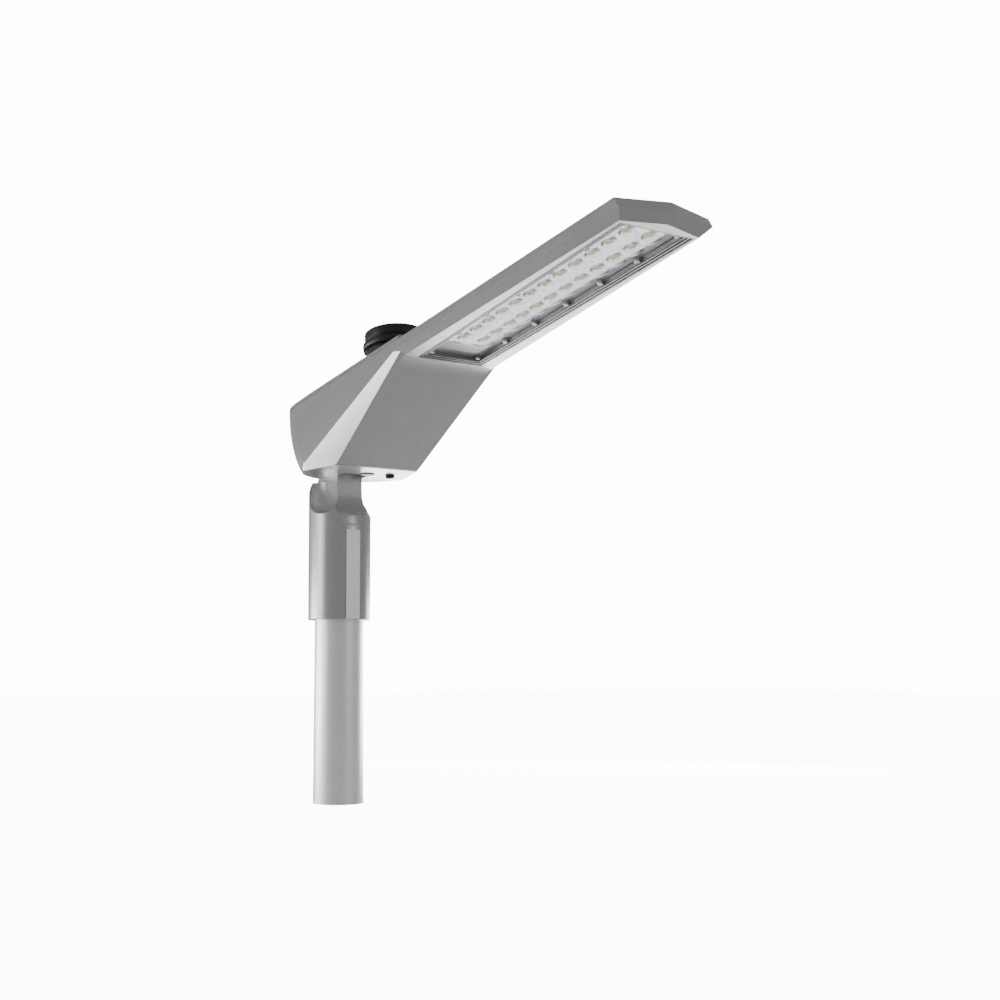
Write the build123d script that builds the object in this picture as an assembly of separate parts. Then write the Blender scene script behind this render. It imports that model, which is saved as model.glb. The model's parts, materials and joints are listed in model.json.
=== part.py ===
from build123d import *
import os
from math import atan2, cos, radians, sin, tan

# LED road luminaire on a tilting mast adapter, with the top of its mast.
#
# Row frame, millimetres: origin at the centre of the mast's lower cut, +Z up the mast,
# +X the way the head points, +Y across the head.
# The head is drawn level in its own frame (u forward, v across, w up, with w = 0 on the
# flat underside that holds the LED window) and is then tilted and lifted onto the mast.

# ---------------------------------------------------------------- driving dimensions
RUN = 0.05                # radial running clearance of a shaft in its bearing
FREE = 0.5                # gap between faces that move past each other
SEAT = 0.15               # assembly gap round a piece that sits in a recess

HEAD_TILT = 6.0           # head pitched up from level
HEAD_HEIGHT = 460.7       # underside plane above the mast's lower cut, on the mast axis

MAST_TOP_R = 29.9         # mast radius just under the adapter
MAST_CUT_R = 30.9         # mast radius at the lower cut (conical steel tube)
SPIGOT_R = 30.0           # cylindrical spigot inside the adapter
MAST_BORE_R = 26.9
ADAPTER_Z = 224.0         # adapter's lower edge
SPIGOT_TOP = 332.0

ADAPTER_R = 38.3
PAD_X = 39.4              # flat pad down the front of the adapter
PAD_WIDTH = 18.0
BOTTOM_DROP = 61.7        # level bottom face of the head, below the head's own origin
BOTTOM_Z = HEAD_HEIGHT - BOTTOM_DROP
PAD_TOP = BOTTOM_Z - 66.0
TONGUE_FRONT_X = 27.8
TONGUE_FRONT_Z = BOTTOM_Z - 25.0    # where the slanted front face meets the tongue
TONGUE_FRONT_R = 120.0    # soft bend between those two faces
TONGUE_HALF = 16.7
POCKET_X = 28.0           # axis of the round hollows beside the tongue
POCKET_Z = BOTTOM_Z
POCKET_R = 48.7
POCKET_BLEND_R = 24.0     # inner corner between a hollow and the tongue
TONGUE_HEEL_Z = BOTTOM_Z - 13.0     # where the tongue's back leaves the adapter's barrel
BARREL_DOME_Z = BOTTOM_Z - 21.0     # the barrel rounds over above this height
TILT_ROOM = 3.8           # the barrel ends this far under the head's level bottom
CABLE_HOLE_R = 8.0
CABLE_HOLE_X = -12.0
SLEEVE_WALL = 2.5
SLEEVE_LENGTH = 12.0
SLEEVE_INSET = 14.0       # rubber sleeve above the spigot's end
SET_SCREW_R = 4.0

KNUCKLE_U = 0.0           # tilt axis in the head's frame
KNUCKLE_W = -35.0
EYE_R = 24.0
TILT_BOLT_R = 5.0
BUSH_WALL = 2.0

TOP_W = 16.8              # top face of the head
WALL = 3.0
HALF_AT_NOSE = 50.5       # half width of the side planes at the nose corner
NOSE_CORNER_U = 632.0
SIDE_TAPER = 0.0325       # half width gained per millimetre backwards
CREASE_W = 7.0            # crease between side face and lower chamfer
UNDER_HALF_FRONT = 42.3   # half width of the flat underside at the nose
UNDER_FRONT_U = 627.0
BEND_U = 266.0            # where the underside bends down into the sloping panel
UNDER_HALF_BEND = 55.4
BEND_R = 65.0
PANEL_END_U = 95.0        # lower end of the sloping panel
PANEL_END_W = -72.4
PANEL_END_HALF = 53.2
CREASE_END_U = 41.5       # lower end of the side crease on the gear compartment
CREASE_END_W = -59.0
BOTTOM_FILLET = 13.0
NOSE_TOP_U = 644.4        # nose points on the centre line: top, crease, underside
NOSE_CREASE_U = 649.4
NOSE_UNDER_U = 637.8
NOSE_SWEEP = 0.24         # how far the nose runs back per millimetre sideways
REAR_ARC_U = 57.6         # arc of the back wall, seen from the side
REAR_ARC_W = 7.5
REAR_ARC_R = 100.9
REAR_CORNER_R = 62.0      # plan radius of the back corners

COVER_GAP = 0.5           # the closed cover stands this far off the rim
COVER_TOP_W = 21.5
COVER_SKIN = 2.4
HINGE_U = 281.0
HINGE_W = 18.5
ROLL_R = 3.0
HINGE_PIN_R = 1.25
HINGE_HALF = 50.0
LUG_WIDTH = 5.5
LOCK_U = -20.0
LOCK_R = 3.0
RIM = 6.5                 # width of the gear compartment's sealing rim
SEAL_WIDTH = 2.4

WINDOW_REAR_U = 275.6
WINDOW_FRONT_U = 625.0
WINDOW_HALF = 39.4
FRAME_INNER_HALF = 31.4
FRAME_DEPTH = 5.8
PLATE_THICK = 2.0
CHAMBER_W = 12.0          # ceiling of the optical chamber
BOARD_THICK = 1.6
PAD_THICK = 0.4
LENS_PITCH = 24.75
LENS_ROW = 12.2           # row offset from the centre line
LENS_COLUMNS = 12
FIRST_LENS_U = 325.6
LENS_R = 10.6
LENS_HEIGHT = 4.4
FRAME_SCREW_V = 28.2
FRONT_BAR = 4.2           # width of the frame's front bar, narrower than its sides
FRAME_SCREW_PAIRS = 7
FRAME_SCREW_FIRST_U = 286.6
FRAME_SCREW_LAST_U = 616.4
EAR_R = 3.8

SOCKET_U = 154.8
SOCKET_BODY_R = 33.0
CAP_R = 34.8
CAP_FLANGE_R = 37.3
CAP_TOP_W = 74.3
CAP_FLANGE_TOP_W = 60.5
CAP_UNDER_W = 52.0
SOCKET_FLANGE_R = 37.0
SOCKET_BARREL_R = 23.5
BLADE_CIRCLE_R = 15.0
BLADE_HALF_THICK = 0.8
BLADE_BACK = 1.5          # a blade's reach behind and ahead of its radius
BLADE_AHEAD = 4.0
BLADE_LENGTH = 12.0
CAP_TWIST = 30.0          # turn that locks the cap
CONTACT_CIRCLE_R = 27.0
CONTACT_R = 2.4

FIN_COUNT = 7             # cooling fins on top of the head
FIN_PITCH = 9.0
FIN_THICK = 2.4
FIN_HEIGHT = 3.4
FIN_REAR_U = 304.0
FIN_FRONT_U = 606.0

TRAY_W = -32.0            # underside of the gear tray
TRAY_THICK = 2.0
HUGE = 1500.0

os.makedirs("parts", exist_ok=True)
HEAD_AT = Location((0, 0, HEAD_HEIGHT), (0, -HEAD_TILT, 0))


# ---------------------------------------------------------------- helpers
def block(u0, u1, v0, v1, w0, w1):
    """A box between two opposite corners."""
    centre = Pos((u0 + u1) / 2, (v0 + v1) / 2, (w0 + w1) / 2)
    return centre * Box(abs(u1 - u0), abs(v1 - v0), abs(w1 - w0))


def post(u, v, w0, w1, radius):
    """An upright cylinder between two heights."""
    return Pos(u, v, (w0 + w1) / 2) * Cylinder(radius, w1 - w0)


def cross_rod(u, w, v0, v1, radius):
    """A cylinder lying across the head."""
    return Pos(u, (v0 + v1) / 2, w) * Rot(90, 0, 0) * Cylinder(radius, abs(v1 - v0))


def half_space(point, normal, inset=0.0):
    """A large block on the side of a plane that its normal points to."""
    unit = Vector(*normal).normalized()
    start = Vector(*point) + unit * inset
    return extrude(Plane(start, z_dir=unit) * Rectangle(2 * HUGE, 2 * HUGE), HUGE)


def plane_normal(a, b, c, towards):
    """Unit normal of the plane through three points, on the side of a fourth."""
    normal = (Vector(*b) - Vector(*a)).cross(Vector(*c) - Vector(*a)).normalized()
    if normal.dot(Vector(*towards) - Vector(*a)) < 0:
        normal = -normal
    return tuple(normal)


def prism(points, half_width):
    """A side outline, given as (u, w) points, carried across the head."""
    return extrude(make_face(Plane.XZ * Polyline(*points, close=True)), half_width, both=True)


def slab(form, w0, w1):
    """The layer of a form between two heights."""
    return form & block(-HUGE, HUGE, -HUGE, HUGE, w0, w1)


def save(name, shape, placed=None):
    """Place a piece and write it as one STEP file."""
    if placed is not None:
        shape = placed * shape
    solids = shape.solids()
    export_step(solids[0] if len(solids) == 1 else Compound(children=solids), f"parts/{name}.step")


def side_half(u):
    """Half width of the side planes."""
    return HALF_AT_NOSE + SIDE_TAPER * (NOSE_CORNER_U - u)


# ---------------------------------------------------------------- the housing's outer form
INSIDE = (200.0, 0.0, 5.0)       # a point inside the head, to orient its planes by


def rear_section(angle, inset):
    """One level slice of the bowl-shaped back: a straight back with two large round corners."""
    arc_r = REAR_ARC_R - inset
    back = REAR_ARC_U - arc_r * sin(radians(angle))
    w = REAR_ARC_W - arc_r * cos(radians(angle))
    front = 760.0
    outline = [
        (back, side_half(back) - inset),
        (back, inset - side_half(back)),
        (front, inset - side_half(front)),
        (front, side_half(front) - inset),
    ]
    sketch = Sketch() + make_face(Polyline(*outline, close=True))
    corners = sketch.vertices().sort_by(Axis.X)[:2]
    return Pos(0, 0, w) * fillet(corners, REAR_CORNER_R - inset)


def rear_bowl(inset):
    """The back of the head: slices whose back edge follows a circular arc."""
    angles = (6, 20, 36, 54, 72, 88, 102)
    return loft([rear_section(angle, inset) for angle in angles])


def chamfer_planes(inset):
    """Inner side of the two chamfers along the underside of the head."""
    kept = None
    for side in (1, -1):
        a = (UNDER_FRONT_U, side * UNDER_HALF_FRONT, 0)
        b = (BEND_U, side * UNDER_HALF_BEND, 0)
        middle = (UNDER_FRONT_U + BEND_U) / 2
        c = (middle, side * side_half(middle), CREASE_W)
        face = half_space(a, plane_normal(a, b, c, INSIDE), inset)
        kept = face if kept is None else kept & face
    return kept


def bevel_planes(inset):
    """Inner side of the two bevels that widen down the gear compartment."""
    kept = None
    for side in (1, -1):
        a = (BEND_U, side * side_half(BEND_U), CREASE_W - 0.5)
        b = (CREASE_END_U, side * side_half(CREASE_END_U), CREASE_END_W)
        c = (PANEL_END_U, side * PANEL_END_HALF, PANEL_END_W)
        face = half_space(a, plane_normal(a, b, c, (BEND_U - 80, 0, 0)), inset)
        kept = face if kept is None else kept & face
    return kept


def nose_planes(inset):
    """Inner side of the four facets of the nose."""
    kept = None
    for side in (1, -1):
        crease = Vector(NOSE_CREASE_U, 0, CREASE_W)
        sweep = Vector(-NOSE_SWEEP, side, 0)
        for end in (Vector(NOSE_TOP_U, 0, TOP_W), Vector(NOSE_UNDER_U, 0, 0)):
            normal = plane_normal(tuple(crease), tuple(crease + sweep), tuple(end), INSIDE)
            face = half_space(tuple(crease), normal, inset)
            kept = face if kept is None else kept & face
    return kept


PANEL_SLOPE = atan2(-PANEL_END_W, BEND_U - PANEL_END_U)


def gear_core(inset, front_u):
    """The gear compartment between its flat faces, up to a front limit."""
    tilt = radians(HEAD_TILT)
    panel = half_space((BEND_U, 0, 0), (-sin(PANEL_SLOPE), 0, cos(PANEL_SLOPE)), inset)
    bottom_w = (BOTTOM_Z - HEAD_HEIGHT) / cos(tilt)
    bottom = half_space((0, 0, bottom_w), (sin(tilt), 0, cos(tilt)), inset)
    core = panel & bottom & block(-100, front_u, -100, 100, -200, 24)
    # The level bottom and the sloping panel meet in the lowest long edge across the compartment.
    corner = core.edges().filter_by(Axis.Y).sort_by(Axis.Z)[0]
    core = fillet(corner, BOTTOM_FILLET - inset)
    return core & bevel_planes(inset)


def gear_form(inset, front_u):
    """The gear compartment's form with its round back."""
    return gear_core(inset, front_u) & rear_bowl(inset)


def bend_wedge():
    """The soft inside curve between the underside and the sloping panel."""
    reach = BEND_R * tan(PANEL_SLOPE / 2)
    flat_end = (BEND_U + reach, 0)
    panel_end = (BEND_U - reach * cos(PANEL_SLOPE), -reach * sin(PANEL_SLOPE))
    bow = BEND_R * (1 / cos(PANEL_SLOPE / 2) - 1)
    middle = (BEND_U + bow * sin(PANEL_SLOPE / 2), -bow * cos(PANEL_SLOPE / 2))
    corner = (BEND_U - 2, 2)
    outline = Line(corner, flat_end) + ThreePointArc(flat_end, middle, panel_end) + Line(panel_end, corner)
    wedge = extrude(make_face(Plane.XZ * outline), 80, both=True)
    return wedge & chamfer_planes(0)


def head_core():
    """The flat front part of the head, with its chamfers and its faceted nose."""
    plank = block(BEND_U - 12, 700, -100, 100, 0, TOP_W)
    return plank & chamfer_planes(0) & nose_planes(0)


def outer_form():
    """The whole outer form of the housing, up to its top face."""
    core = slab(gear_core(0, BEND_U + 60), -100, TOP_W) + head_core() + bend_wedge()
    return core & rear_bowl(0)


# ---------------------------------------------------------------- mast and adapter
def mast_tube():
    """Conical tube with a cylindrical spigot at its top."""
    cone = Pos(0, 0, ADAPTER_Z / 2) * Cone(MAST_CUT_R, MAST_TOP_R, ADAPTER_Z)
    spigot = post(0, 0, ADAPTER_Z - 1, SPIGOT_TOP, SPIGOT_R)
    spigot = spigot & block(-50, 50, -50, 50, ADAPTER_Z + 2, SPIGOT_TOP + 1)
    neck = Pos(0, 0, ADAPTER_Z + 1) * Cone(MAST_TOP_R, SPIGOT_R, 2)
    tube = cone + neck + spigot
    return tube - post(0, 0, -1, SPIGOT_TOP + 1, MAST_BORE_R)


def knuckle_point():
    """The tilt axis in the row frame."""
    tilt = radians(HEAD_TILT)
    x = KNUCKLE_U * cos(tilt) - KNUCKLE_W * sin(tilt)
    z = HEAD_HEIGHT + KNUCKLE_U * sin(tilt) + KNUCKLE_W * cos(tilt)
    return x, z


def adapter_outline():
    """Side outline of the adapter: barrel, slanted front face, tongue and sloping heel."""
    pivot_x, pivot_z = knuckle_point()
    beyond = 60.0
    heel_x = pivot_x - EYE_R * cos(radians(20))
    heel_z = pivot_z - EYE_R * sin(radians(20))
    outline = prism(
        [
            (-beyond, ADAPTER_Z),
            (beyond, ADAPTER_Z),
            (beyond, PAD_TOP - beyond),
            (PAD_X, PAD_TOP),
            (TONGUE_FRONT_X, TONGUE_FRONT_Z),
            (TONGUE_FRONT_X, pivot_z),
            (heel_x, heel_z),
            (-ADAPTER_R, TONGUE_HEEL_Z),
            (-beyond, TONGUE_HEEL_Z - 30),
        ],
        beyond,
    )
    across = outline.edges().filter_by(Axis.Y)
    bend = across.sort_by_distance((TONGUE_FRONT_X, 0, TONGUE_FRONT_Z))[0]
    return fillet(bend, TONGUE_FRONT_R) + cross_rod(pivot_x, pivot_z, -beyond, beyond, EYE_R)


def tongue_hollow(side):
    """Round hollow beside the tongue, with a large inner corner and everything above it."""
    hollow = cross_rod(POCKET_X, POCKET_Z, side * TONGUE_HALF, side * 60, POCKET_R)
    rims = hollow.edges().filter_by(GeomType.CIRCLE)
    inner = min(rims, key=lambda rim: abs(rim.center().Y))
    above = block(-60, 60, side * TONGUE_HALF, side * 60, BOTTOM_Z - TILT_ROOM, BOTTOM_Z + 60)
    return fillet(inner, POCKET_BLEND_R) + above


def mast_adapter():
    """Casting that slips over the mast, with a tongue that carries the head."""
    pivot_x, pivot_z = knuckle_point()
    top = pivot_z + EYE_R
    barrel = post(0, 0, ADAPTER_Z, top, ADAPTER_R)
    pad = block(20, PAD_X, -PAD_WIDTH / 2, PAD_WIDTH / 2, ADAPTER_Z, PAD_TOP)
    body = (barrel + pad) & adapter_outline()
    rings = body.edges().filter_by(GeomType.CIRCLE).group_by(Axis.Z)[0]
    body = fillet(rings.sort_by(Edge.length)[-1], 0.6)
    tongue = body & block(-60, 60, -TONGUE_HALF, TONGUE_HALF, BARREL_DOME_Z, top + 5)
    rounded = post(0, 0, 0, BARREL_DOME_Z, 60) + Pos(0, 0, BARREL_DOME_Z) * Sphere(ADAPTER_R)
    body = (body & rounded) + tongue
    for side in (1, -1):
        body = body - tongue_hollow(side)
    body = body - post(0, 0, ADAPTER_Z - 1, SPIGOT_TOP + FREE, SPIGOT_R + RUN)
    body = body - post(CABLE_HOLE_X, 0, SPIGOT_TOP, top + 5, CABLE_HOLE_R)
    body = body - cross_rod(pivot_x, pivot_z, -40, 40, TILT_BOLT_R + BUSH_WALL)
    for hole in set_screw_places():
        body = body - hole * Cylinder(SET_SCREW_R, 30)
    return body


def set_screw_places():
    """Two rows of grub screws round the back of the adapter, pointing at the mast."""
    places = []
    for z in (ADAPTER_Z + 28, ADAPTER_Z + 82):
        for turn in (115, 180):
            places.append(Pos(0, 0, z) * Rot(0, 0, turn) * Pos(ADAPTER_R, 0, 0) * Rot(0, 90, 0))
    return places


def set_screws():
    """Grub screws with a hexagon socket, stopping just short of the mast."""
    screws = []
    tip = SPIGOT_R + FREE
    outer = ADAPTER_R - 0.8
    middle = (tip + outer) / 2 - ADAPTER_R
    for place in set_screw_places():
        screw = Pos(0, 0, middle) * Cylinder(SET_SCREW_R - RUN, outer - tip)
        key = Pos(0, 0, outer - ADAPTER_R - 2) * extrude(RegularPolygon(2.3, 6), 4)
        screws.append(place * (screw - key))
    return Compound(children=screws)


def tilt_bushes():
    """Two plain bushes pressed into the tongue's eye."""
    pivot_x, pivot_z = knuckle_point()
    pair = []
    for side in (1, -1):
        ring = cross_rod(pivot_x, pivot_z, side * 2, side * TONGUE_HALF, TILT_BOLT_R + BUSH_WALL)
        ring = ring - cross_rod(pivot_x, pivot_z, side, side * 20, TILT_BOLT_R + RUN)
        pair.append(ring)
    return Compound(children=pair)


def cable_grommet():
    """Rubber sleeve where the supply cable leaves the tongue."""
    low = SPIGOT_TOP + SLEEVE_INSET
    ring = post(CABLE_HOLE_X, 0, low, low + SLEEVE_LENGTH, CABLE_HOLE_R)
    return ring - post(CABLE_HOLE_X, 0, low - 5, low + SLEEVE_LENGTH + 5, CABLE_HOLE_R - SLEEVE_WALL)


# ---------------------------------------------------------------- housing
KNUCKLE_GAP = FREE
CHEEK = 5.0
SLOT_FRONT_U = 42.0
SLOT_TOP_W = KNUCKLE_W + EYE_R + 3.0
TRAY_POSTS = [(62, 43), (62, -43), (172, 43), (172, -43)]


def frame_screw_places():
    """Screw positions along both sides of the window."""
    step = (FRAME_SCREW_LAST_U - FRAME_SCREW_FIRST_U) / (FRAME_SCREW_PAIRS - 1)
    places = []
    for index in range(FRAME_SCREW_PAIRS):
        for side in (1, -1):
            places.append((FRAME_SCREW_FIRST_U + index * step, side * FRAME_SCREW_V))
    return places


def hinge_lugs(radius):
    """Lugs at both ends of the cover's hinge."""
    lugs = None
    for side in (1, -1):
        v0 = side * (HINGE_HALF + FREE)
        v1 = side * (HINGE_HALF + FREE + LUG_WIDTH)
        lug = cross_rod(HINGE_U, HINGE_W, v0, v1, radius)
        lug = lug + block(HINGE_U - radius, HINGE_U + radius, v0, v1, TOP_W - 2, HINGE_W)
        lugs = lug if lugs is None else lugs + lug
    return lugs


def housing():
    """Die-cast housing: gear compartment behind, LED heat sink and window recess in front."""
    outer = outer_form()
    hollow_front = BEND_U - 11
    hollow = gear_form(WALL, hollow_front)
    rim_cut = slab(gear_form(RIM, hollow_front - RIM + WALL), TOP_W - 4, 23)
    hollow = slab(hollow, -100, TOP_W - 4) + rim_cut
    half = TONGUE_HALF + KNUCKLE_GAP
    tower = block(-100, SLOT_FRONT_U + CHEEK, -half - CHEEK, half + CHEEK, -100, SLOT_TOP_W + CHEEK)
    tower = tower + post(LOCK_U, 0, SLOT_TOP_W, TOP_W - 2, 8)
    for u, v in TRAY_POSTS:
        tower = tower + post(u, v, -90, TRAY_W, 4.5)
    body = outer - (hollow - tower)
    body = body - block(-100, SLOT_FRONT_U, -half, half, -100, SLOT_TOP_W)
    outside = half + CHEEK + 1
    body = body - cross_rod(KNUCKLE_U, KNUCKLE_W, -outside, outside, TILT_BOLT_R + 0.02)
    body = body - post(LOCK_U, 0, 0, TOP_W, LOCK_R + 1.2)
    for u, v in TRAY_POSTS:
        body = body - post(u, v, TRAY_W - 6, TRAY_W + 1, 1.6)
    # seal groove in the rim
    groove = gear_form(WALL - SEAT, hollow_front + SEAT)
    groove = groove - gear_form(WALL + SEAL_WIDTH + SEAT, hollow_front - SEAL_WIDTH - SEAT)
    body = body - slab(groove, TOP_W - 2, TOP_W + 1)
    # window recess and optical chamber
    body = body - window_pad(-SEAT, -20, SEAT_W)
    ledge = PLATE_INSET + 0.3 + GASKET_WIDTH + 0.6
    chamber = window_pad(ledge, 0, CHAMBER_W)
    for u, v in frame_screw_places():
        chamber = chamber - post(u, v, SEAT_W, CHAMBER_W + 1, 3)
    body = body - chamber
    body = body - window_ring(PLATE_INSET + 0.2, PLATE_INSET + 0.4 + GASKET_WIDTH, SEAT_W - 1, SEAT_W + 1.8)
    for u, v in frame_screw_places():
        body = body - post(u, v, 0, CHAMBER_W + 2.5, 1.25)
    # hinge trough and lugs
    body = body - cross_rod(HINGE_U, HINGE_W, -HINGE_HALF - FREE, HINGE_HALF + FREE, ROLL_R + FREE)
    body = body + hinge_lugs(ROLL_R)
    for side in (1, -1):
        v_end = side * (HINGE_HALF + FREE + LUG_WIDTH)
        body = body - cross_rod(HINGE_U, HINGE_W, 0, v_end, HINGE_PIN_R)
    # openings in the floor and the partition
    for hole in (vent_axis() * Cylinder(3, 12), plug_axis() * Cylinder(6, 12)):
        body = body - hole
    body = body - lead_way(GROMMET_R, BEND_U - 20, LEAD_END_U)
    body = body - gland_axis() * Cylinder(8, 20)
    for index in range(FIN_COUNT):
        v = (index - (FIN_COUNT - 1) / 2) * FIN_PITCH
        v0, v1 = v - FIN_THICK / 2, v + FIN_THICK / 2
        body = body + block(FIN_REAR_U, FIN_FRONT_U, v0, v1, TOP_W - 1, TOP_W + FIN_HEIGHT)
    return body


VENT_PLACE = (62.0, 38.0)         # on the level bottom, in the row frame
PLUG_PLACE = (58.0, 9.5)


def vent_axis():
    """Pressure vent in the level bottom."""
    return bottom_place(*VENT_PLACE)


def plug_axis():
    """Spare cable entry in the level bottom."""
    return bottom_place(*PLUG_PLACE)


def bottom_place(x, y):
    """A point on the level bottom, in the head's frame, with its axis square to it."""
    return HEAD_AT.inverse() * Pos(x, y, BOTTOM_Z)


def gland_axis():
    """Cable entry through the roof of the knuckle chamber's front wall."""
    return Pos(SLOT_FRONT_U + CHEEK / 2, 0, -19) * Rot(0, 90, 0)


LEAD_V = 4.0
LEAD_W = 11.75
LEAD_END_U = 290.0
LEAD_R = 0.7
GROMMET_R = 1.9


def lead_way(radius, start, end):
    """A round way for the LED leads between two places along the head."""
    return Pos((start + end) / 2, LEAD_V, LEAD_W) * Rot(0, 90, 0) * Cylinder(radius, end - start)


def lead_grommet():
    """Rubber sleeve round the LED leads, in the wall in front of the gear compartment."""
    start = BEND_U - 11
    sleeve = lead_way(GROMMET_R, start, start + 12)
    for offset in (-LEAD_R - RUN, LEAD_R + RUN):
        sleeve = sleeve - Pos(0, offset, 0) * lead_way(LEAD_R, start - 1, start + 13)
    return sleeve


# ---------------------------------------------------------------- window and LED engine
FRONT_SHARE = FRONT_BAR / (WINDOW_HALF - FRAME_INNER_HALF)


def window_pad(inset, w0, w1):
    """The window's rectangle drawn in by an inset, with its narrower front bar."""
    half = WINDOW_HALF - inset
    return block(WINDOW_REAR_U + inset, WINDOW_FRONT_U - inset * FRONT_SHARE, -half, half, w0, w1)


def window_ring(start, end, w0, w1):
    """A rectangular ring between two insets of the window's rectangle."""
    return window_pad(start, w0, w1) - window_pad(end, w0 - 1, w1 + 1)


def window_frame():
    """Trim frame round the optic, with raised ribs and an ear at each screw."""
    width = WINDOW_HALF - FRAME_INNER_HALF
    frame = window_ring(0, width, 2.4, FRAME_DEPTH)
    for start, end, low in ((0.0, 1.3, 0.2), (2.9, 4.5, 0.6), (width - 1.9, width - 0.6, 1.2)):
        frame = frame + window_ring(start, end, low, FRAME_DEPTH - 1)
    inner = window_pad(1, 0, 20)
    for u, v in frame_screw_places():
        ear = post(u, v, FRAME_DEPTH - 1.4, FRAME_DEPTH, EAR_R)
        side = 1 if v > 0 else -1
        v0 = min(v, side * (FRAME_INNER_HALF + 1))
        v1 = max(v, side * (FRAME_INNER_HALF + 1))
        ear = ear + block(u - EAR_R, u + EAR_R, v0, v1, FRAME_DEPTH - 1.4, FRAME_DEPTH)
        frame = frame + (ear & inner)
    for u, v in frame_screw_places():
        frame = frame - post(u, v, 0, 10, 1.7)
    return frame


def frame_screws():
    """Pan-head screws that clamp the frame, the optic and its gasket."""
    screws = []
    for u, v in frame_screw_places():
        head = post(u, v, FRAME_DEPTH - 3.3, FRAME_DEPTH - 1.4, 2.6)
        head = fillet(head.faces().sort_by(Axis.Z)[0].edges(), 1.1)
        shank = post(u, v, FRAME_DEPTH - 1.5, CHAMBER_W + 2.4, 1.25)
        drive = post(u, v, FRAME_DEPTH - 3.5, FRAME_DEPTH - 2.3, 1.0)
        screws.append(head + shank - drive)
    return Compound(children=screws)


def lens_places():
    """Centres of the lenses, two rows side by side."""
    places = []
    for column in range(LENS_COLUMNS):
        for side in (1, -1):
            places.append((FIRST_LENS_U + column * LENS_PITCH, side * LENS_ROW))
    return places


PLATE_INSET = WINDOW_HALF - FRAME_INNER_HALF - 1.8   # the frame laps the optic by this much less
SEAT_W = FRAME_DEPTH + PLATE_THICK
GASKET_WIDTH = 1.4


def optic_plate():
    """Clear moulded plate with one dome per LED."""
    plate = window_pad(PLATE_INSET, FRAME_DEPTH, SEAT_W)
    sphere_r = (LENS_R ** 2 + LENS_HEIGHT ** 2) / (2 * LENS_HEIGHT)
    under = block(0, HUGE, -100, 100, FRAME_DEPTH - 20, FRAME_DEPTH + 0.5)
    for u, v in lens_places():
        ball = Pos(u, v, FRAME_DEPTH - LENS_HEIGHT + sphere_r) * Sphere(sphere_r)
        plate = plate + (ball & under)
    for u, v in frame_screw_places():
        plate = plate - post(u, v, 0, 20, 1.4)
    return plate


def optic_gasket():
    """Rubber ring in the ledge that the optic seats on."""
    return window_ring(PLATE_INSET + 0.3, PLATE_INSET + 0.3 + GASKET_WIDTH, SEAT_W, SEAT_W + 1.8)


BOARD_HALF = FRAME_SCREW_V - 3.2
BOARD_REAR_U = 308.0
BOARD_FRONT_U = 614.0
BOARD_TOP_W = CHAMBER_W - PAD_THICK
CHIP_SIZE = 3.8
CHIP_HEIGHT = 0.9


def led_board():
    """Aluminium-core board that carries the LEDs."""
    low = BOARD_TOP_W - BOARD_THICK
    return block(BOARD_REAR_U, BOARD_FRONT_U, -BOARD_HALF, BOARD_HALF, low, BOARD_TOP_W)


def thermal_pad():
    """Heat-conducting pad between the board and the heat sink."""
    half = BOARD_HALF - 1
    return block(BOARD_REAR_U + 1, BOARD_FRONT_U - 1, -half, half, BOARD_TOP_W, CHAMBER_W)


def led_chips():
    """One LED package under each lens."""
    high = BOARD_TOP_W - BOARD_THICK
    half = CHIP_SIZE / 2
    chips = []
    for u, v in lens_places():
        chips.append(block(u - half, u + half, v - half, v + half, high - CHIP_HEIGHT, high))
    return Compound(children=chips)


def connector_cover():
    """White cover over the lead connector, seen through the rear of the optic."""
    return block(286, 305, -12, 24.5, SEAT_W + 0.1, SEAT_W + 1.0)


def board_connector():
    """Plug-in terminal that takes the two LED leads."""
    return block(LEAD_END_U, 307, -3, 11, CHAMBER_W - 2.6, CHAMBER_W)


# ---------------------------------------------------------------- gear
def gear_tray():
    """Sheet-steel tray that carries the gear."""
    tray = block(54, 180, -48, 48, TRAY_W, TRAY_W + TRAY_THICK)
    for u, v in TRAY_POSTS:
        tray = tray - post(u, v, TRAY_W - 1, TRAY_W + 5, 2.2)
    return tray


def tray_screws():
    """Screws that hold the tray on its four posts."""
    screws = []
    for u, v in TRAY_POSTS:
        head = post(u, v, TRAY_W + TRAY_THICK, TRAY_W + TRAY_THICK + 2.4, 3.6)
        shank = post(u, v, TRAY_W - 5.5, TRAY_W + TRAY_THICK + 0.1, 1.6)
        drive = post(u, v, TRAY_W + TRAY_THICK + 1.2, TRAY_W + TRAY_THICK + 3, 1.4)
        screws.append(head + shank - drive)
    return Compound(children=screws)


GEAR_W = TRAY_W + TRAY_THICK
DRIVER_END_U = 176.0
NUT_HALF_FLATS = 8.5      # half the width across the flats of an M10 nut
WASHER_THICK = 1.5
WASHER_R = 10.0


def driver():
    """LED driver in its metal case."""
    case = block(64, DRIVER_END_U, -36, 12, GEAR_W, GEAR_W + 27)
    case = chamfer(case.faces().sort_by(Axis.Z)[-1].edges(), 2)
    return case


def surge_protector():
    """Surge protection module."""
    module = block(72, 112, 17, 38, GEAR_W, GEAR_W + 24)
    return fillet(module.edges().filter_by(Axis.Z), 2)


def terminal_block():
    """Three-pole mains terminal with its screw wells."""
    body = block(120, 162, 17, 38, GEAR_W, GEAR_W + 18)
    for index in range(3):
        u = 127 + index * 14
        body = body - post(u, 33, GEAR_W + 10, GEAR_W + 20, 3)
        body = body - (Pos(u, 19, GEAR_W + 7) * Rot(90, 0, 0) * Cylinder(2.5, 12))
    return body


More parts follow.
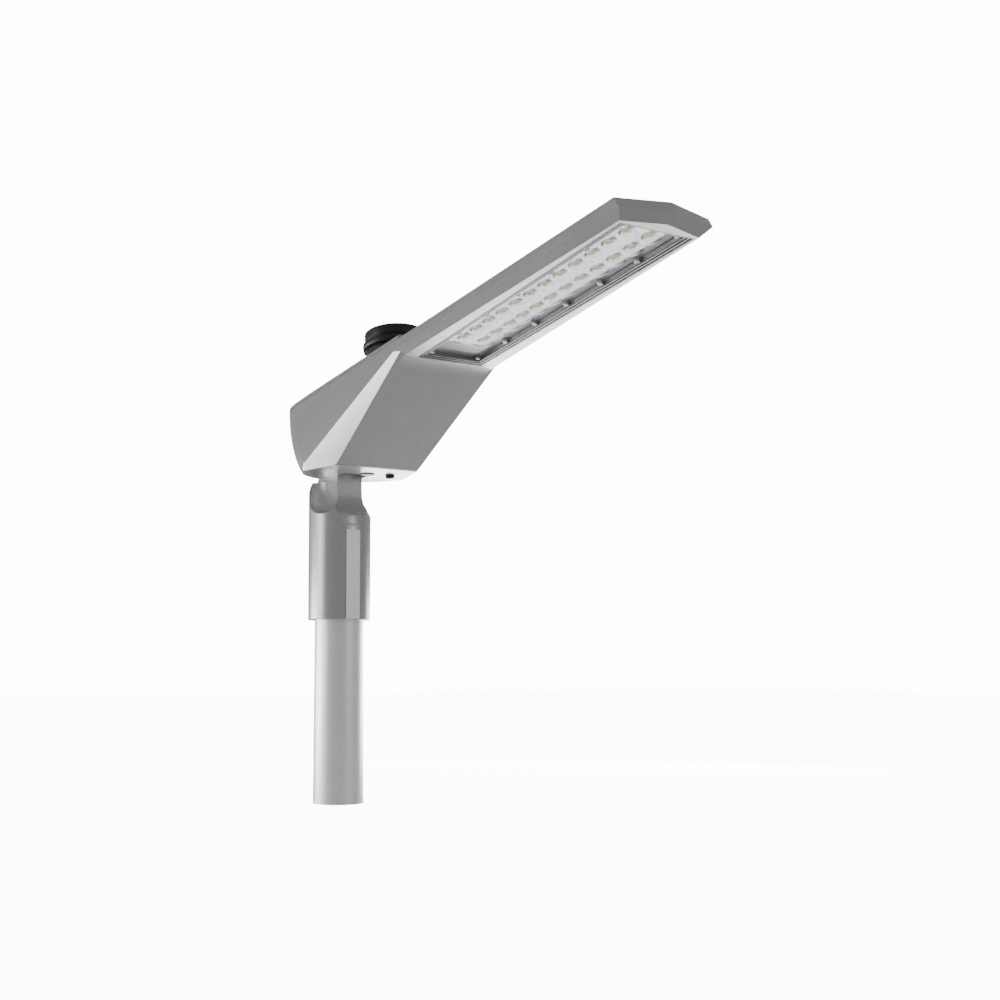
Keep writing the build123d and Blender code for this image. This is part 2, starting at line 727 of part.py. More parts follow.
def output_leads():
    """Two insulated leads from the driver to the LED connector."""
    leads = []
    for offset in (-LEAD_R - RUN, LEAD_R + RUN):
        v = LEAD_V + offset
        low = GEAR_W + 14
        route = [(DRIVER_END_U, v, low), (200, v, low), (232, v, LEAD_W), (LEAD_END_U, v, LEAD_W)]
        path = FilletPolyline(*route, radius=28)
        leads.append(sweep(Plane(path @ 0, z_dir=path % 0) * Circle(LEAD_R), path=path))
    return Compound(children=leads)


def tilt_bolt():
    """Hexagon-head bolt through both cheeks and the tongue."""
    half = TONGUE_HALF + KNUCKLE_GAP + CHEEK
    seat = half + WASHER_THICK
    shank = cross_rod(KNUCKLE_U, KNUCKLE_W, -seat, half + 14, TILT_BOLT_R)
    head = extrude(RegularPolygon(NUT_HALF_FLATS, 6, major_radius=False), 6.4)
    return shank + Pos(KNUCKLE_U, -seat, KNUCKLE_W) * Rot(90, 0, 0) * head


def tilt_nut():
    """Lock nut on the tilt bolt."""
    seat = TONGUE_HALF + KNUCKLE_GAP + CHEEK + WASHER_THICK
    nut = extrude(RegularPolygon(NUT_HALF_FLATS, 6, major_radius=False), 9)
    nut = Pos(KNUCKLE_U, seat, KNUCKLE_W) * Rot(-90, 0, 0) * nut
    return nut - cross_rod(KNUCKLE_U, KNUCKLE_W, 0, 60, TILT_BOLT_R)


def tilt_washers():
    """Washers under the bolt head and the nut."""
    half = TONGUE_HALF + KNUCKLE_GAP + CHEEK
    pair = []
    for v0, v1 in ((-half - WASHER_THICK, -half), (half, half + WASHER_THICK)):
        ring = cross_rod(KNUCKLE_U, KNUCKLE_W, v0, v1, WASHER_R)
        pair.append(ring - cross_rod(KNUCKLE_U, KNUCKLE_W, -60, 60, TILT_BOLT_R))
    return Compound(children=pair)


def cable_gland():
    """Cable gland through the front wall of the knuckle chamber."""
    place = gland_axis()
    barrel = Cylinder(8, CHEEK)
    nut = Pos(0, 0, CHEEK / 2 + 3) * extrude(RegularPolygon(10, 6), 3, both=True)
    gland = barrel + nut + Pos(0, 0, CHEEK / 2 + 8) * Cylinder(7.5, 4)
    return place * (gland - Cylinder(4, 60))


def vent_plug():
    """Domed pressure-equalising vent."""
    dome = Cylinder(5.6, 4)
    dome = Pos(0, 0, -2) * fillet(dome.faces().sort_by(Axis.Z)[0].edges(), 2.6)
    return vent_axis() * (dome + Pos(0, 0, 1.5) * Cylinder(3, 3))


def blanking_plug():
    """Flat plug in the spare cable entry."""
    disc = Pos(0, 0, -0.6) * Cylinder(9, 1.2)
    disc = chamfer(disc.faces().sort_by(Axis.Z)[0].edges(), 0.6)
    return plug_axis() * (disc + Pos(0, 0, 1.5) * Cylinder(6, 3))


def cover_seal():
    """Rubber cord seal round the gear compartment."""
    front = BEND_U - 11
    ring = gear_form(WALL, front) - gear_form(WALL + SEAL_WIDTH, front - SEAL_WIDTH)
    return slab(ring, TOP_W - 2, TOP_W + COVER_GAP - 0.1)


def hinge_pins():
    """Two pins that the cover turns on."""
    pins = []
    for side in (1, -1):
        outer = side * (HINGE_HALF + FREE + LUG_WIDTH)
        inner = side * (HINGE_HALF - 14)
        pins.append(cross_rod(HINGE_U, HINGE_W, inner, outer, HINGE_PIN_R))
    return Compound(children=pins)


# ---------------------------------------------------------------- gear cover and control socket
def cover_form(inset):
    """Plan form of the cover, the same as the housing under it."""
    return gear_form(inset, BEND_U + 60)


def gear_cover():
    """Cover over the gear compartment, hinged at its front."""
    low = TOP_W + COVER_GAP
    body = slab(cover_form(0), low, COVER_TOP_W) & block(-100, HINGE_U, -100, 100, 0, 30)
    body = chamfer(body.faces().sort_by(Axis.Z)[-1].edges().filter_by(Axis.Y, reverse=True), 1.4)
    inner = slab(gear_form(RIM, BEND_U - 16), low - 1, COVER_TOP_W - COVER_SKIN)
    body = body - inner
    roll = cross_rod(HINGE_U, HINGE_W, -HINGE_HALF, HINGE_HALF, ROLL_R)
    for side in (1, -1):
        v0 = side * (HINGE_HALF + 0.01)
        notch = block(HINGE_U - ROLL_R - 1.2, HINGE_U + 10, v0, side * 90, 0, 30)
        body = body - notch
    body = body + roll
    for side in (1, -1):
        hole = cross_rod(HINGE_U, HINGE_W, side * (HINGE_HALF - 15), side * 90, HINGE_PIN_R + RUN)
        body = body - hole
    body = body - post(SOCKET_U, 0, 0, 40, 24)
    boss = post(LOCK_U, 0, low, COVER_TOP_W, 8)
    body = body + (boss & slab(cover_form(1), low, COVER_TOP_W))
    return body - post(LOCK_U, 0, 0, 40, LOCK_R + RUN)


def cover_lock():
    """Quarter-turn screw that holds the cover shut."""
    head = post(LOCK_U, 0, COVER_TOP_W + 0.3, COVER_TOP_W + 4, 7)
    head = chamfer(head.faces().sort_by(Axis.Z)[-1].edges(), 1)
    shank = post(LOCK_U, 0, 4, COVER_TOP_W + 0.4, LOCK_R)
    slot = block(LOCK_U - 5.5, LOCK_U + 5.5, -0.9, 0.9, COVER_TOP_W + 2.4, COVER_TOP_W + 5)
    return head + shank - slot


SOCKET_BASE_W = COVER_TOP_W + 2.0
SOCKET_FLANGE_W = SOCKET_BASE_W + 5.5
SEAL_TOP_W = CAP_UNDER_W - 0.2
SOCKET_TOP_W = CAP_UNDER_W - 2.2


def socket_gasket():
    """Rubber ring under the control socket."""
    ring = post(SOCKET_U, 0, COVER_TOP_W, SOCKET_BASE_W, SOCKET_FLANGE_R)
    return ring - post(SOCKET_U, 0, 0, 60, SOCKET_BARREL_R + 1)


def blade_slots(half_width):
    """Arc-shaped wells that let the cap's blades turn."""
    middle = SOCKET_TOP_W - BLADE_LENGTH / 2 - 1
    ring = Cylinder(BLADE_CIRCLE_R + half_width, 16) - Cylinder(BLADE_CIRCLE_R - half_width, 20)
    start, end = radians(-14), radians(CAP_TWIST + 20)
    reach = 50.0
    tip = reach / cos((end - start) / 2)
    corners = [(0, 0)]
    for turn, distance in ((start, reach), ((start + end) / 2, tip), (end, reach)):
        corners.append((distance * cos(turn), distance * sin(turn)))
    sector = extrude(make_face(Polyline(*corners, close=True)), 80)
    wells = None
    for turn in (0, 120, 240):
        well = Pos(SOCKET_U, 0, 0) * ((Pos(0, 0, middle) * ring) & (Rot(0, 0, turn) * sector))
        wells = well if wells is None else wells + well
    return wells


def contact_places():
    """Centres of the four dimming contacts."""
    places = []
    for index in range(4):
        turn = radians(45 + 90 * index)
        places.append((SOCKET_U + CONTACT_CIRCLE_R * cos(turn), CONTACT_CIRCLE_R * sin(turn)))
    return places


def control_socket():
    """Round twist-lock socket for a light control."""
    flange = post(SOCKET_U, 0, SOCKET_BASE_W, SOCKET_FLANGE_W, SOCKET_FLANGE_R)
    flange = fillet(flange.faces().sort_by(Axis.Z)[-1].edges(), 2)
    barrel = post(SOCKET_U, 0, 10, SOCKET_TOP_W, SOCKET_BARREL_R)
    barrel = barrel + post(SOCKET_U, 0, SOCKET_BASE_W, SOCKET_TOP_W, SOCKET_BODY_R)
    body = flange + barrel - blade_slots(BLADE_HALF_THICK + 1.8)
    for u, v in contact_places():
        body = body - post(u, v, SOCKET_TOP_W - 1, SOCKET_TOP_W + 1, CONTACT_R)
    return body


def socket_contacts():
    """Four dimming contacts on the socket's face."""
    pads = []
    for u, v in contact_places():
        pads.append(post(u, v, SOCKET_TOP_W - 1, SOCKET_TOP_W, CONTACT_R))
    return Compound(children=pads)


def socket_nut():
    """Clamp ring that holds the socket from inside the cover."""
    top = COVER_TOP_W - COVER_SKIN
    return post(SOCKET_U, 0, top - 4, top, 30) - post(SOCKET_U, 0, 0, 60, SOCKET_BARREL_R)


def cap_seal():
    """Rubber ring under the cap."""
    return post(SOCKET_U, 0, SOCKET_TOP_W + 0.1, CAP_UNDER_W, 32.5) - post(SOCKET_U, 0, 0, 90, 30)


def shorting_cap():
    """Blanking cap that twists onto the control socket."""
    flange = post(SOCKET_U, 0, CAP_UNDER_W, CAP_FLANGE_TOP_W, CAP_FLANGE_R)
    flats = flange.faces().sort_by(Axis.Z)
    flange = fillet(flats[0].edges() + flats[-1].edges(), 1.6)
    body = post(SOCKET_U, 0, CAP_UNDER_W, CAP_TOP_W, CAP_R)
    body = fillet(body.faces().sort_by(Axis.Z)[-1].edges(), 3)
    groove = post(SOCKET_U, 0, CAP_FLANGE_TOP_W, CAP_FLANGE_TOP_W + 1.6, CAP_R + 5)
    groove = groove - post(SOCKET_U, 0, 0, 90, CAP_R - 1.2)
    hollow = post(SOCKET_U, 0, CAP_UNDER_W - 1, CAP_TOP_W - 3, 28)
    core = post(SOCKET_U, 0, CAP_UNDER_W, CAP_TOP_W - 1, 20)
    return flange + body - groove - (hollow - core)


def cap_blades():
    """Three contact blades under the cap."""
    inner, outer = BLADE_CIRCLE_R - BLADE_HALF_THICK, BLADE_CIRCLE_R + BLADE_HALF_THICK
    blade = block(inner, outer, -BLADE_BACK, BLADE_AHEAD, CAP_UNDER_W - BLADE_LENGTH, CAP_UNDER_W)
    return Compound(children=[Pos(SOCKET_U, 0, 0) * Rot(0, 0, turn) * blade for turn in (0, 120, 240)])


# ---------------------------------------------------------------- write the parts
IN_ROW_FRAME = {
    "mast_tube": mast_tube,
    "mast_adapter": mast_adapter,
    "adapter_set_screws": set_screws,
    "tilt_bushes": tilt_bushes,
    "cable_grommet": cable_grommet,
}
IN_HEAD_FRAME = {
    "housing": housing,
    "window_frame": window_frame,
    "frame_screws": frame_screws,
    "optic_plate": optic_plate,
    "optic_gasket": optic_gasket,
    "led_board": led_board,
    "thermal_pad": thermal_pad,
    "led_chips": led_chips,
    "connector_cover": connector_cover,
    "board_connector": board_connector,
    "gear_tray": gear_tray,
    "tray_screws": tray_screws,
    "led_driver": driver,
    "surge_protector": surge_protector,
    "terminal_block": terminal_block,
    "output_leads": output_leads,
    "lead_grommet": lead_grommet,
    "tilt_bolt": tilt_bolt,
    "tilt_nut": tilt_nut,
    "tilt_washers": tilt_washers,
    "cable_gland": cable_gland,
    "vent_plug": vent_plug,
    "blanking_plug": blanking_plug,
    "cover_seal": cover_seal,
    "hinge_pins": hinge_pins,
    "gear_cover": gear_cover,
    "cover_lock": cover_lock,
    "socket_gasket": socket_gasket,
    "control_socket": control_socket,
    "socket_contacts": socket_contacts,
    "socket_nut": socket_nut,
    "cap_seal": cap_seal,
    "shorting_cap": shorting_cap,
    "cap_blades": cap_blades,
}
for name, make in IN_ROW_FRAME.items():
    save(name, make())
for name, make in IN_HEAD_FRAME.items():
    save(name, make(), HEAD_AT)
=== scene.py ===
# %% [markdown]
# # An LED road luminaire on its mast adapter
# The lamp is a flat, faceted aluminium head on a short tilting adapter. The mechanical model is already
# exact, so this script keeps its shapes and adds what a mechanical model leaves out: paint, cast metal,
# rubber, clear optics, small roundings and moulded detail, all in the same place and at the same size.

# %% Load the frame and measure it
import json
import math
import bmesh
import bpy
import numpy as np
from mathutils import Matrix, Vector


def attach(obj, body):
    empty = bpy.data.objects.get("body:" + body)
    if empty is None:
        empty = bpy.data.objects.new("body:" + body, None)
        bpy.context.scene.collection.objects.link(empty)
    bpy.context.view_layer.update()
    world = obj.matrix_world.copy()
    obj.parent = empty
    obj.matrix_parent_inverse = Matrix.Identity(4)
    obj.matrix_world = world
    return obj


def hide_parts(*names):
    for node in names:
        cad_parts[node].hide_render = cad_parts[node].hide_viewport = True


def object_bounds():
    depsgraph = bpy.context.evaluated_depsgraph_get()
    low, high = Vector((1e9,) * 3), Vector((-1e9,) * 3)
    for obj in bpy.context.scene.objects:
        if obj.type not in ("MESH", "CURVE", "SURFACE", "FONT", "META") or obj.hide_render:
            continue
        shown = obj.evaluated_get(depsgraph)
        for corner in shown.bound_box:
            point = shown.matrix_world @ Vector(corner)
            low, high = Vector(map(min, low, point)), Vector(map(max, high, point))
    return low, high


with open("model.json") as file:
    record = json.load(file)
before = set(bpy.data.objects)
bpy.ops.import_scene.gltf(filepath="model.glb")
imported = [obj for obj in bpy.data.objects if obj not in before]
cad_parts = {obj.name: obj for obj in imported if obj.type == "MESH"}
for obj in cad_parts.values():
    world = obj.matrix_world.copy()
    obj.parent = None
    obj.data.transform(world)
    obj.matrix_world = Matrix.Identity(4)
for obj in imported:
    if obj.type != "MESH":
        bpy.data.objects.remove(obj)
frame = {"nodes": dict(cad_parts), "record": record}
cad_box = [list(corner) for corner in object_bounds()]
nodes = frame["nodes"]
joints = {joint["name"]: joint for joint in frame["record"]["behaviour"]["joints"]}
print("CAD box", cad_box)

# %% [markdown]
# The head is pitched up, so its parts are easiest to describe in a frame of its own: u forwards, v across
# and w up, in millimetres, with w = 0 on the flat underside. The cap's turning axis is the head's up
# direction and the tilt joint is a known point in it, so both are read from the record.

# %% The head's own frame
KNUCKLE_W = -35.0
up = np.array(joints["cap_twist"]["axis"], float)
forward = np.array([up[2], 0.0, -up[0]])
across = np.array([0.0, 1.0, 0.0])
head_origin = np.array(joints["tilt"]["pos_m"], float) - KNUCKLE_W * 0.001 * up
print("head pitched up by", round(math.degrees(math.atan2(forward[2], forward[0])), 2), "degrees")


def in_head(points):
    """Head frame (u, v, w in mm) to the row frame (m): origin + u forward + v across + w up."""
    p = np.asarray(points, float) * 0.001
    return head_origin + p[..., 0:1] * forward + p[..., 1:2] * across + p[..., 2:3] * up


# %% [markdown]
# Every new piece is one or more grids of points. A grid has rows and columns, so its faces follow from
# counting, and closing a grid joins its last column back to its first. Merging equal points afterwards
# closes the seams and the poles, and the normals are then turned outwards.

# %% Grids to meshes
def grid_faces(rows, columns, wrap_rows=False, wrap_columns=False):
    """Quads between neighbouring points of a rows x columns grid, wrapping round where asked."""
    r = np.arange(rows if wrap_rows else rows - 1)
    c = np.arange(columns if wrap_columns else columns - 1)
    r, c = np.meshgrid(r, c, indexing="ij")
    r2, c2 = (r + 1) % rows, (c + 1) % columns
    quads = np.stack([r * columns + c, r * columns + c2, r2 * columns + c2, r2 * columns + c], -1)
    return quads.reshape(-1, 4)


SAME_POINT = 2e-6
SHARP_EDGE = 35.0


def make_piece(name, grids, body, slot, replaced=()):
    """One object from a list of (points, faces); it rides on a body and may stand for CAD nodes.

    Points nearer than SAME_POINT (m) are one, and edges over SHARP_EDGE (degrees) stay sharp.
    """
    points, faces, start = [], [], 0
    for grid_points, grid_quads in grids:
        flat = np.asarray(grid_points, float).reshape(-1, 3)
        points.append(flat)
        faces.append(np.asarray(grid_quads) + start)
        start += len(flat)
    points, faces = np.concatenate(points), np.concatenate(faces)
    mesh = bpy.data.meshes.new(name)
    mesh.from_pydata(points, [], faces.tolist())
    work = bmesh.new()
    work.from_mesh(mesh)
    bmesh.ops.remove_doubles(work, verts=work.verts, dist=SAME_POINT)
    bmesh.ops.dissolve_degenerate(work, edges=work.edges, dist=1e-7)
    bmesh.ops.recalc_face_normals(work, faces=work.faces)
    work.to_mesh(mesh)
    work.free()
    mesh.shade_smooth()
    mesh.set_sharp_from_angle(angle=math.radians(SHARP_EDGE))
    mesh.materials.append(finishes[slot])
    piece = bpy.data.objects.new(name, mesh)
    bpy.context.scene.collection.objects.link(piece)
    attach(piece, body)
    if replaced:
        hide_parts(*replaced)
    print(name, len(mesh.polygons), "faces")


def turned(profile, centre, steps):
    """A turned shape in the head frame: each (radius, height) of the profile runs round the w axis.

    u = centre u + radius x cos(angle), v = centre v + radius x sin(angle), w = height.
    """
    profile = np.asarray(profile, float)
    angle = np.linspace(0, 2 * np.pi, steps, endpoint=False)
    radius, height = profile[:, 0:1], profile[:, 1:2]
    u = centre[0] + radius * np.cos(angle)
    v = centre[1] + radius * np.sin(angle)
    w = height + 0 * u
    return in_head(np.stack([u, v, w], -1)), grid_faces(len(profile), steps, wrap_columns=True)


print("a ring of 3 rows and 8 columns has", len(grid_faces(3, 8, wrap_columns=True)), "faces")


# %% [markdown]
# Shader maths reads best as ordinary expressions. This small class wraps one output of a node, so that
# `0.4 + 0.1 * grain` adds the Math nodes by itself, and one method, `node`, adds any other kind of node.

# %% A socket that can be calculated with
class Wire:
    """One output socket of a material's node tree."""

    def __init__(self, tree, socket):
        self.tree, self.socket = tree, socket

    def node(self, kind, output=0, settings=None, **sockets):
        """Adds a node of a kind, sets its settings, then its sockets, and gives one of its outputs.

        A socket goes by its name, with _ for a space, or by its number as i0, i1 and so on.
        """
        new = self.tree.nodes.new(kind)
        for key, value in (settings or {}).items():
            setattr(new, key, value)
        for key, value in sockets.items():
            number = int(key[1:]) if key[0] == "i" and key[1:].isdigit() else None
            socket = new.inputs[number if number is not None else key.replace("_", " ")]
            if isinstance(value, Wire):
                self.tree.links.new(value.socket, socket)
            else:
                socket.default_value = value
        return Wire(self.tree, new.outputs[output])

    def maths(self, operation, *values):
        """A Math node on up to three values or wires."""
        numbered = {f"i{number}": value for number, value in enumerate(values)}
        return self.node("ShaderNodeMath", 0, {"operation": operation}, **numbered)

    def __add__(self, other):
        return self.maths("ADD", self, other)

    def __mul__(self, other):
        return self.maths("MULTIPLY", self, other)

    def __pow__(self, other):
        return self.maths("POWER", self, other)

    __radd__, __rmul__ = __add__, __mul__

    def colours(self, low, high):
        """A mix from one colour to another as the value goes from 0 to 1."""
        return self.node("ShaderNodeMix", 2, {"data_type": "RGBA"}, Factor=self, i6=low, i7=high)


def start_finish(name, **constants):
    """A new material with its shader's constant sockets set; gives it, the shader and a place wire."""
    material = bpy.data.materials.new(name)
    material.use_nodes = True
    shader = material.node_tree.nodes["Principled BSDF"]
    for key, value in constants.items():
        shader.inputs[key.replace("_", " ")].default_value = value
    place = material.node_tree.nodes.new("ShaderNodeTexCoord").outputs["Object"]
    return material, shader, Wire(material.node_tree, place)


def feed(shader, **wires):
    """Links wires to the Principled shader's sockets by name."""
    for key, wire in wires.items():
        wire.tree.links.new(wire.socket, shader.inputs[key.replace("_", " ")])


def noise(place, scale, detail, stretch=None):
    """Smooth noise from 0 to 1 at a number of grains per metre."""
    if stretch is not None:
        place = place.node("ShaderNodeMapping", Vector=place, Scale=stretch)
    return place.node("ShaderNodeTexNoise", 0, Vector=place, Scale=scale, Detail=detail, Roughness=0.5)


def bump(height, strength, distance):
    """A bumped normal from a height wire."""
    return height.node("ShaderNodeBump", 0, Height=height, Strength=strength, Distance=distance)


def grey(value):
    """A neutral colour."""
    return (value, value, value, 1.0)


print("a wire adds and multiplies from either side, and can be raised to a power")


# %% [markdown]
# The castings are powder-coated. The coat is a satin grey with a fine orange-peel surface about a
# millimetre across, a little uneven in tone, and slightly metallic because it carries aluminium flake.

# %% Powder coat
def powder_coat(name, tone, metal, roughness):
    """Satin grey coat: tone varies a few per cent, orange peel in the bump, flake in the roughness."""
    material, shader, place = start_finish(name, Metallic=metal, Specular_IOR_Level=0.5)
    cloud = noise(place, 14, 3)
    grain = noise(place, 900, 2)
    flake = noise(place, 3200, 1)
    feed(
        shader,
        Base_Color=(0.7 * cloud + 0.3 * flake).colours(grey(tone * 0.93), grey(tone * 1.07)),
        Roughness=roughness - 0.06 + 0.08 * cloud + 0.05 * flake,
        Normal=bump(grain, 0.10, 0.0004),
    )
    return material


finishes = {
    "grey_paint": powder_coat("grey_powder_coat", 0.50, metal=0.80, roughness=0.30),
    "frame_grey": powder_coat("frame_grey_coat", 0.24, metal=0.6, roughness=0.32),
}
print(sorted(finishes))

# %% [markdown]
# The mast is hot-dip galvanised: a faint spangle, brushed along its length. Screws, the driver's case and
# the gear tray are bare metal. They need only fine turning marks, because they are small or inside.

# %% Other metals
def galvanised(name):
    """Galvanised steel tube: faint spangle, light lengthwise brushing."""
    material, shader, place = start_finish(name, Metallic=0.6)
    cloud = noise(place, 40, 3)
    brush = noise(place, 60, 2, stretch=(14.0, 14.0, 0.6))
    feed(
        shader,
        Base_Color=(0.6 * cloud + 0.4 * brush).colours(grey(0.88), grey(0.97)),
        Roughness=0.34 + 0.08 * cloud + 0.06 * brush,
        Normal=bump(brush, 0.05, 0.0003),
    )
    return material


def bright_metal(name, colour, roughness):
    """Plain machined or plated metal with light turning marks."""
    material, shader, place = start_finish(name, Metallic=1.0)
    marks = noise(place, 2500, 2)
    feed(
        shader,
        Base_Color=marks.colours(tuple(0.92 * c for c in colour[:3]) + (1.0,), colour),
        Roughness=roughness + 0.1 * marks,
        Normal=bump(marks, 0.05, 0.0001),
    )
    return material


finishes["galvanised"] = galvanised("galvanised_steel")
finishes["stainless"] = bright_metal("stainless_steel", (0.78, 0.78, 0.79, 1.0), roughness=0.2)
finishes["brass"] = bright_metal("contact_brass", (0.80, 0.62, 0.30, 1.0), roughness=0.25)
finishes["steel_sheet"] = bright_metal("zinc_plated_sheet", (0.70, 0.71, 0.72, 1.0), roughness=0.38)
finishes["driver_case"] = bright_metal("driver_case_aluminium", grey(0.78), roughness=0.42)
print(len(finishes), "finishes so far")

# %% [markdown]
# The control cap, seals, leads and connectors are moulded. A tool's spark-eroded wall leaves a fine
# texture on them, so one finish with its own colour, roughness and depth of texture does for all.

# %% Plastics and rubber
def moulded(name, colour, roughness=0.45, peel=0.12):
    """Moulded plastic: even colour, fine spark-eroded texture."""
    material, shader, place = start_finish(name, Metallic=0.0)
    fine = noise(place, 2200, 2)
    cloud = noise(place, 60, 2)
    feed(
        shader,
        Base_Color=cloud.colours(tuple(0.94 * c for c in colour[:3]) + (1.0,), colour),
        Roughness=roughness + 0.08 * fine,
        Normal=bump(fine, peel, 0.0002),
    )
    return material


finishes["nylon"] = moulded("natural_nylon", (0.80, 0.78, 0.70, 1.0))
finishes["rubber"] = moulded("black_rubber", grey(0.018), roughness=0.7)
finishes["rubber_grey"] = moulded("thermal_pad_grey", (0.40, 0.42, 0.45, 1.0), roughness=0.7)
finishes["white_plastic"] = moulded("white_moulding", (0.86, 0.86, 0.85, 1.0), roughness=0.3, peel=0.06)
finishes["black_plastic"] = moulded(
    "black_moulding", (0.010, 0.010, 0.011, 1.0), roughness=0.38, peel=0.05
)
finishes["lead_insulation"] = moulded("red_silicone_lead", (0.45, 0.03, 0.02, 1.0), roughness=0.5)
print(len(finishes), "finishes so far")

# %% [markdown]
# The optic is one clear acrylic moulding, frosted along its edges, over a white board with an LED under
# each lens. Real refraction would be slow and noisy at this size. So the clear parts are see-through face
# on and more solid where they turn away, with a painted dark rim there in place of refraction, and the
# board and the LEDs have a painted glow of their own, in place of the light that the lenses gather on
# them.

# %% Clear optic and LEDs
def clear_optic(name):
    """Clear acrylic: nearly see-through face on, and more solid and bright in its gloss where it turns
    away, where its colour is painted darker: a painted dark rim in place of refraction.
    """
    material, shader, place = start_finish(name, Metallic=0.0, IOR=1.49)
    edge = place.node("ShaderNodeLayerWeight", 1, Blend=0.35)
    ripple = noise(place, 260, 2)
    feed(
        shader,
        # painted dark rim: the colour goes darker where the surface turns away, in place of refraction
        Base_Color=(edge ** 3.0).colours((0.30, 0.31, 0.32, 1.0), (0.10, 0.11, 0.12, 1.0)),
        Alpha=0.03 + 0.7 * (edge ** 3.0),
        Roughness=0.04 + 0.04 * ripple,
        Normal=bump(ripple, 0.08, 0.0004),
    )
    return material


def moulded_plate(name, clear_half, frosted_half):
    """The optic's own plate: clear inside one half width, frosted and greyer outside another (m)."""
    material, shader, place = start_finish(name, Metallic=0.0, IOR=1.49)
    edge = place.node("ShaderNodeLayerWeight", 1, Blend=0.35)
    side = place.node("ShaderNodeSeparateXYZ", 1, Vector=place).maths("ABSOLUTE")
    border = side.node("ShaderNodeMapRange", 0, Value=side, From_Min=clear_half, From_Max=frosted_half)
    streak = noise(place, 90, 3, stretch=(0.35, 6.0, 1.0))
    clear, frosted = (0.30, 0.31, 0.33, 1.0), (0.46, 0.47, 0.50, 1.0)
    feed(
        shader,
        Base_Color=(border * (0.55 + 0.45 * streak)).colours(clear, frosted),
        Alpha=0.03 + 0.6 * (edge ** 3.0) + 0.5 * border,
        Roughness=0.05 + 0.22 * border,
        Normal=bump(streak, 0.15, 0.0005),
    )
    return material


def white_mask_with_painted_glow(name):
    """White solder mask over faint copper tracks, with a painted glow of its own in place of the light
    that the lenses gather.
    """
    # painted glow: the board gives off light of its own though it is no lamp
    material, shader, place = start_finish(name, Metallic=0.0, Roughness=0.35, Emission_Strength=5.0)
    shader.inputs["Emission Color"].default_value = (0.96, 0.97, 1.0, 1.0)
    tracks = place.node("ShaderNodeTexBrick", 1, Vector=place, Scale=40.0, Mortar_Size=0.012)
    cloud = noise(place, 120, 2)
    feed(
        shader,
        Base_Color=(0.5 * tracks + 0.5 * cloud).colours((0.95, 0.95, 0.94, 1.0), (0.86, 0.87, 0.86, 1.0)),
        Normal=bump(tracks, 0.1, 0.0002),
    )
    return material


def phosphor(name):
    """LED phosphor: greenish yellow."""
    # painted glow: the phosphor gives off light of its own, in place of the light that the lens gathers on
    # it
    material, shader, place = start_finish(name, Metallic=0.0, Roughness=0.4, Emission_Strength=2.2)
    shader.inputs["Emission Color"].default_value = (0.72, 0.90, 0.24, 1.0)
    cloud = noise(place, 700, 2)
    feed(shader, Base_Color=cloud.colours((0.66, 0.72, 0.26, 1.0), (0.90, 0.94, 0.55, 1.0)))
    return material


PLATE_CLEAR_HALF, PLATE_FROSTED_HALF = 0.0245, 0.0265
finishes["clear_optic"] = clear_optic("clear_acrylic_painted_dark_rim")
finishes["white_board"] = white_mask_with_painted_glow("white_solder_mask_painted_glow")
finishes["led_phosphor"] = phosphor("led_phosphor")
optic_border = moulded_plate("moulded_optic_plate", PLATE_CLEAR_HALF, PLATE_FROSTED_HALF)
print(len(finishes), "finishes in all")

# %% [markdown]
# Each mechanical node takes the finish its piece has on the real lamp. The record names it as the node's
# material slot, so one loop dresses them all, and only the optic's plate has a finish of its own.

# %% Finishes on the CAD nodes
for subpart in frame["record"]["subparts"]:
    cad_mesh = nodes[subpart["node"]].data
    cad_mesh.materials.clear()
    cad_mesh.materials.append(finishes[subpart["material_slot"]])
nodes["optic_plate"].data.materials[0] = optic_border
print(len(nodes), "nodes dressed")

# %% [markdown]
# Cast metal has no knife edges: every crease of the mould is rounded a little, and that thin rounding
# catches the light. A Bevel on a tessellated model would also round every facet of its curves, so the
# creases are picked first: long edges between two large flat faces. Weighted normals then keep the
# flats flat.

# %% Castings with softened creases
FLAT_ANGLE = 0.4  # degrees: faces that meet at less than this are one flat


def softened(node, radius, crease=13.0, length=0.008, area=3e-5, sharp=24.0):
    """A copy of a CAD node with its long creases rounded to a radius (m).

    A crease is an edge longer than length (m) between two faces larger than area (m2) that meet at more
    than crease (degrees). Edges over sharp (degrees) stay sharp in the shading.
    """
    source = nodes[node]
    work = bmesh.new()
    work.from_mesh(source.data)
    bmesh.ops.remove_doubles(work, verts=work.verts, dist=1e-6)
    bmesh.ops.dissolve_limit(
        work,
        angle_limit=math.radians(FLAT_ANGLE),
        verts=work.verts,
        edges=work.edges,
        use_dissolve_boundaries=False,
    )
    creases = [
        edge
        for edge in work.edges
        if len(edge.link_faces) == 2
        and edge.calc_length() > length
        and math.degrees(edge.calc_face_angle(0.0)) > crease
        and min(face.calc_area() for face in edge.link_faces) > area
    ]
    bmesh.ops.bevel(
        work, geom=creases, offset=radius, offset_type="OFFSET", segments=3, profile=0.5,
        affect="EDGES", clamp_overlap=True,
    )
    bmesh.ops.triangulate(work, faces=[face for face in work.faces if len(face.verts) > 4])
    mesh = bpy.data.meshes.new(node + "_cast")
    work.to_mesh(mesh)
    work.free()
    mesh.shade_smooth()
    mesh.set_sharp_from_angle(angle=math.radians(sharp))
    mesh.materials.append(source.data.materials[0])
    piece = bpy.data.objects.new(node + "_cast", mesh)
    bpy.context.scene.collection.objects.link(piece)
    weighted = piece.modifiers.new("flats", "WEIGHTED_NORMAL")
    weighted.keep_sharp = True
    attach(piece, body_of[node])
    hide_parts(node)
    print(piece.name, len(creases), "creases", len(mesh.polygons), "faces")


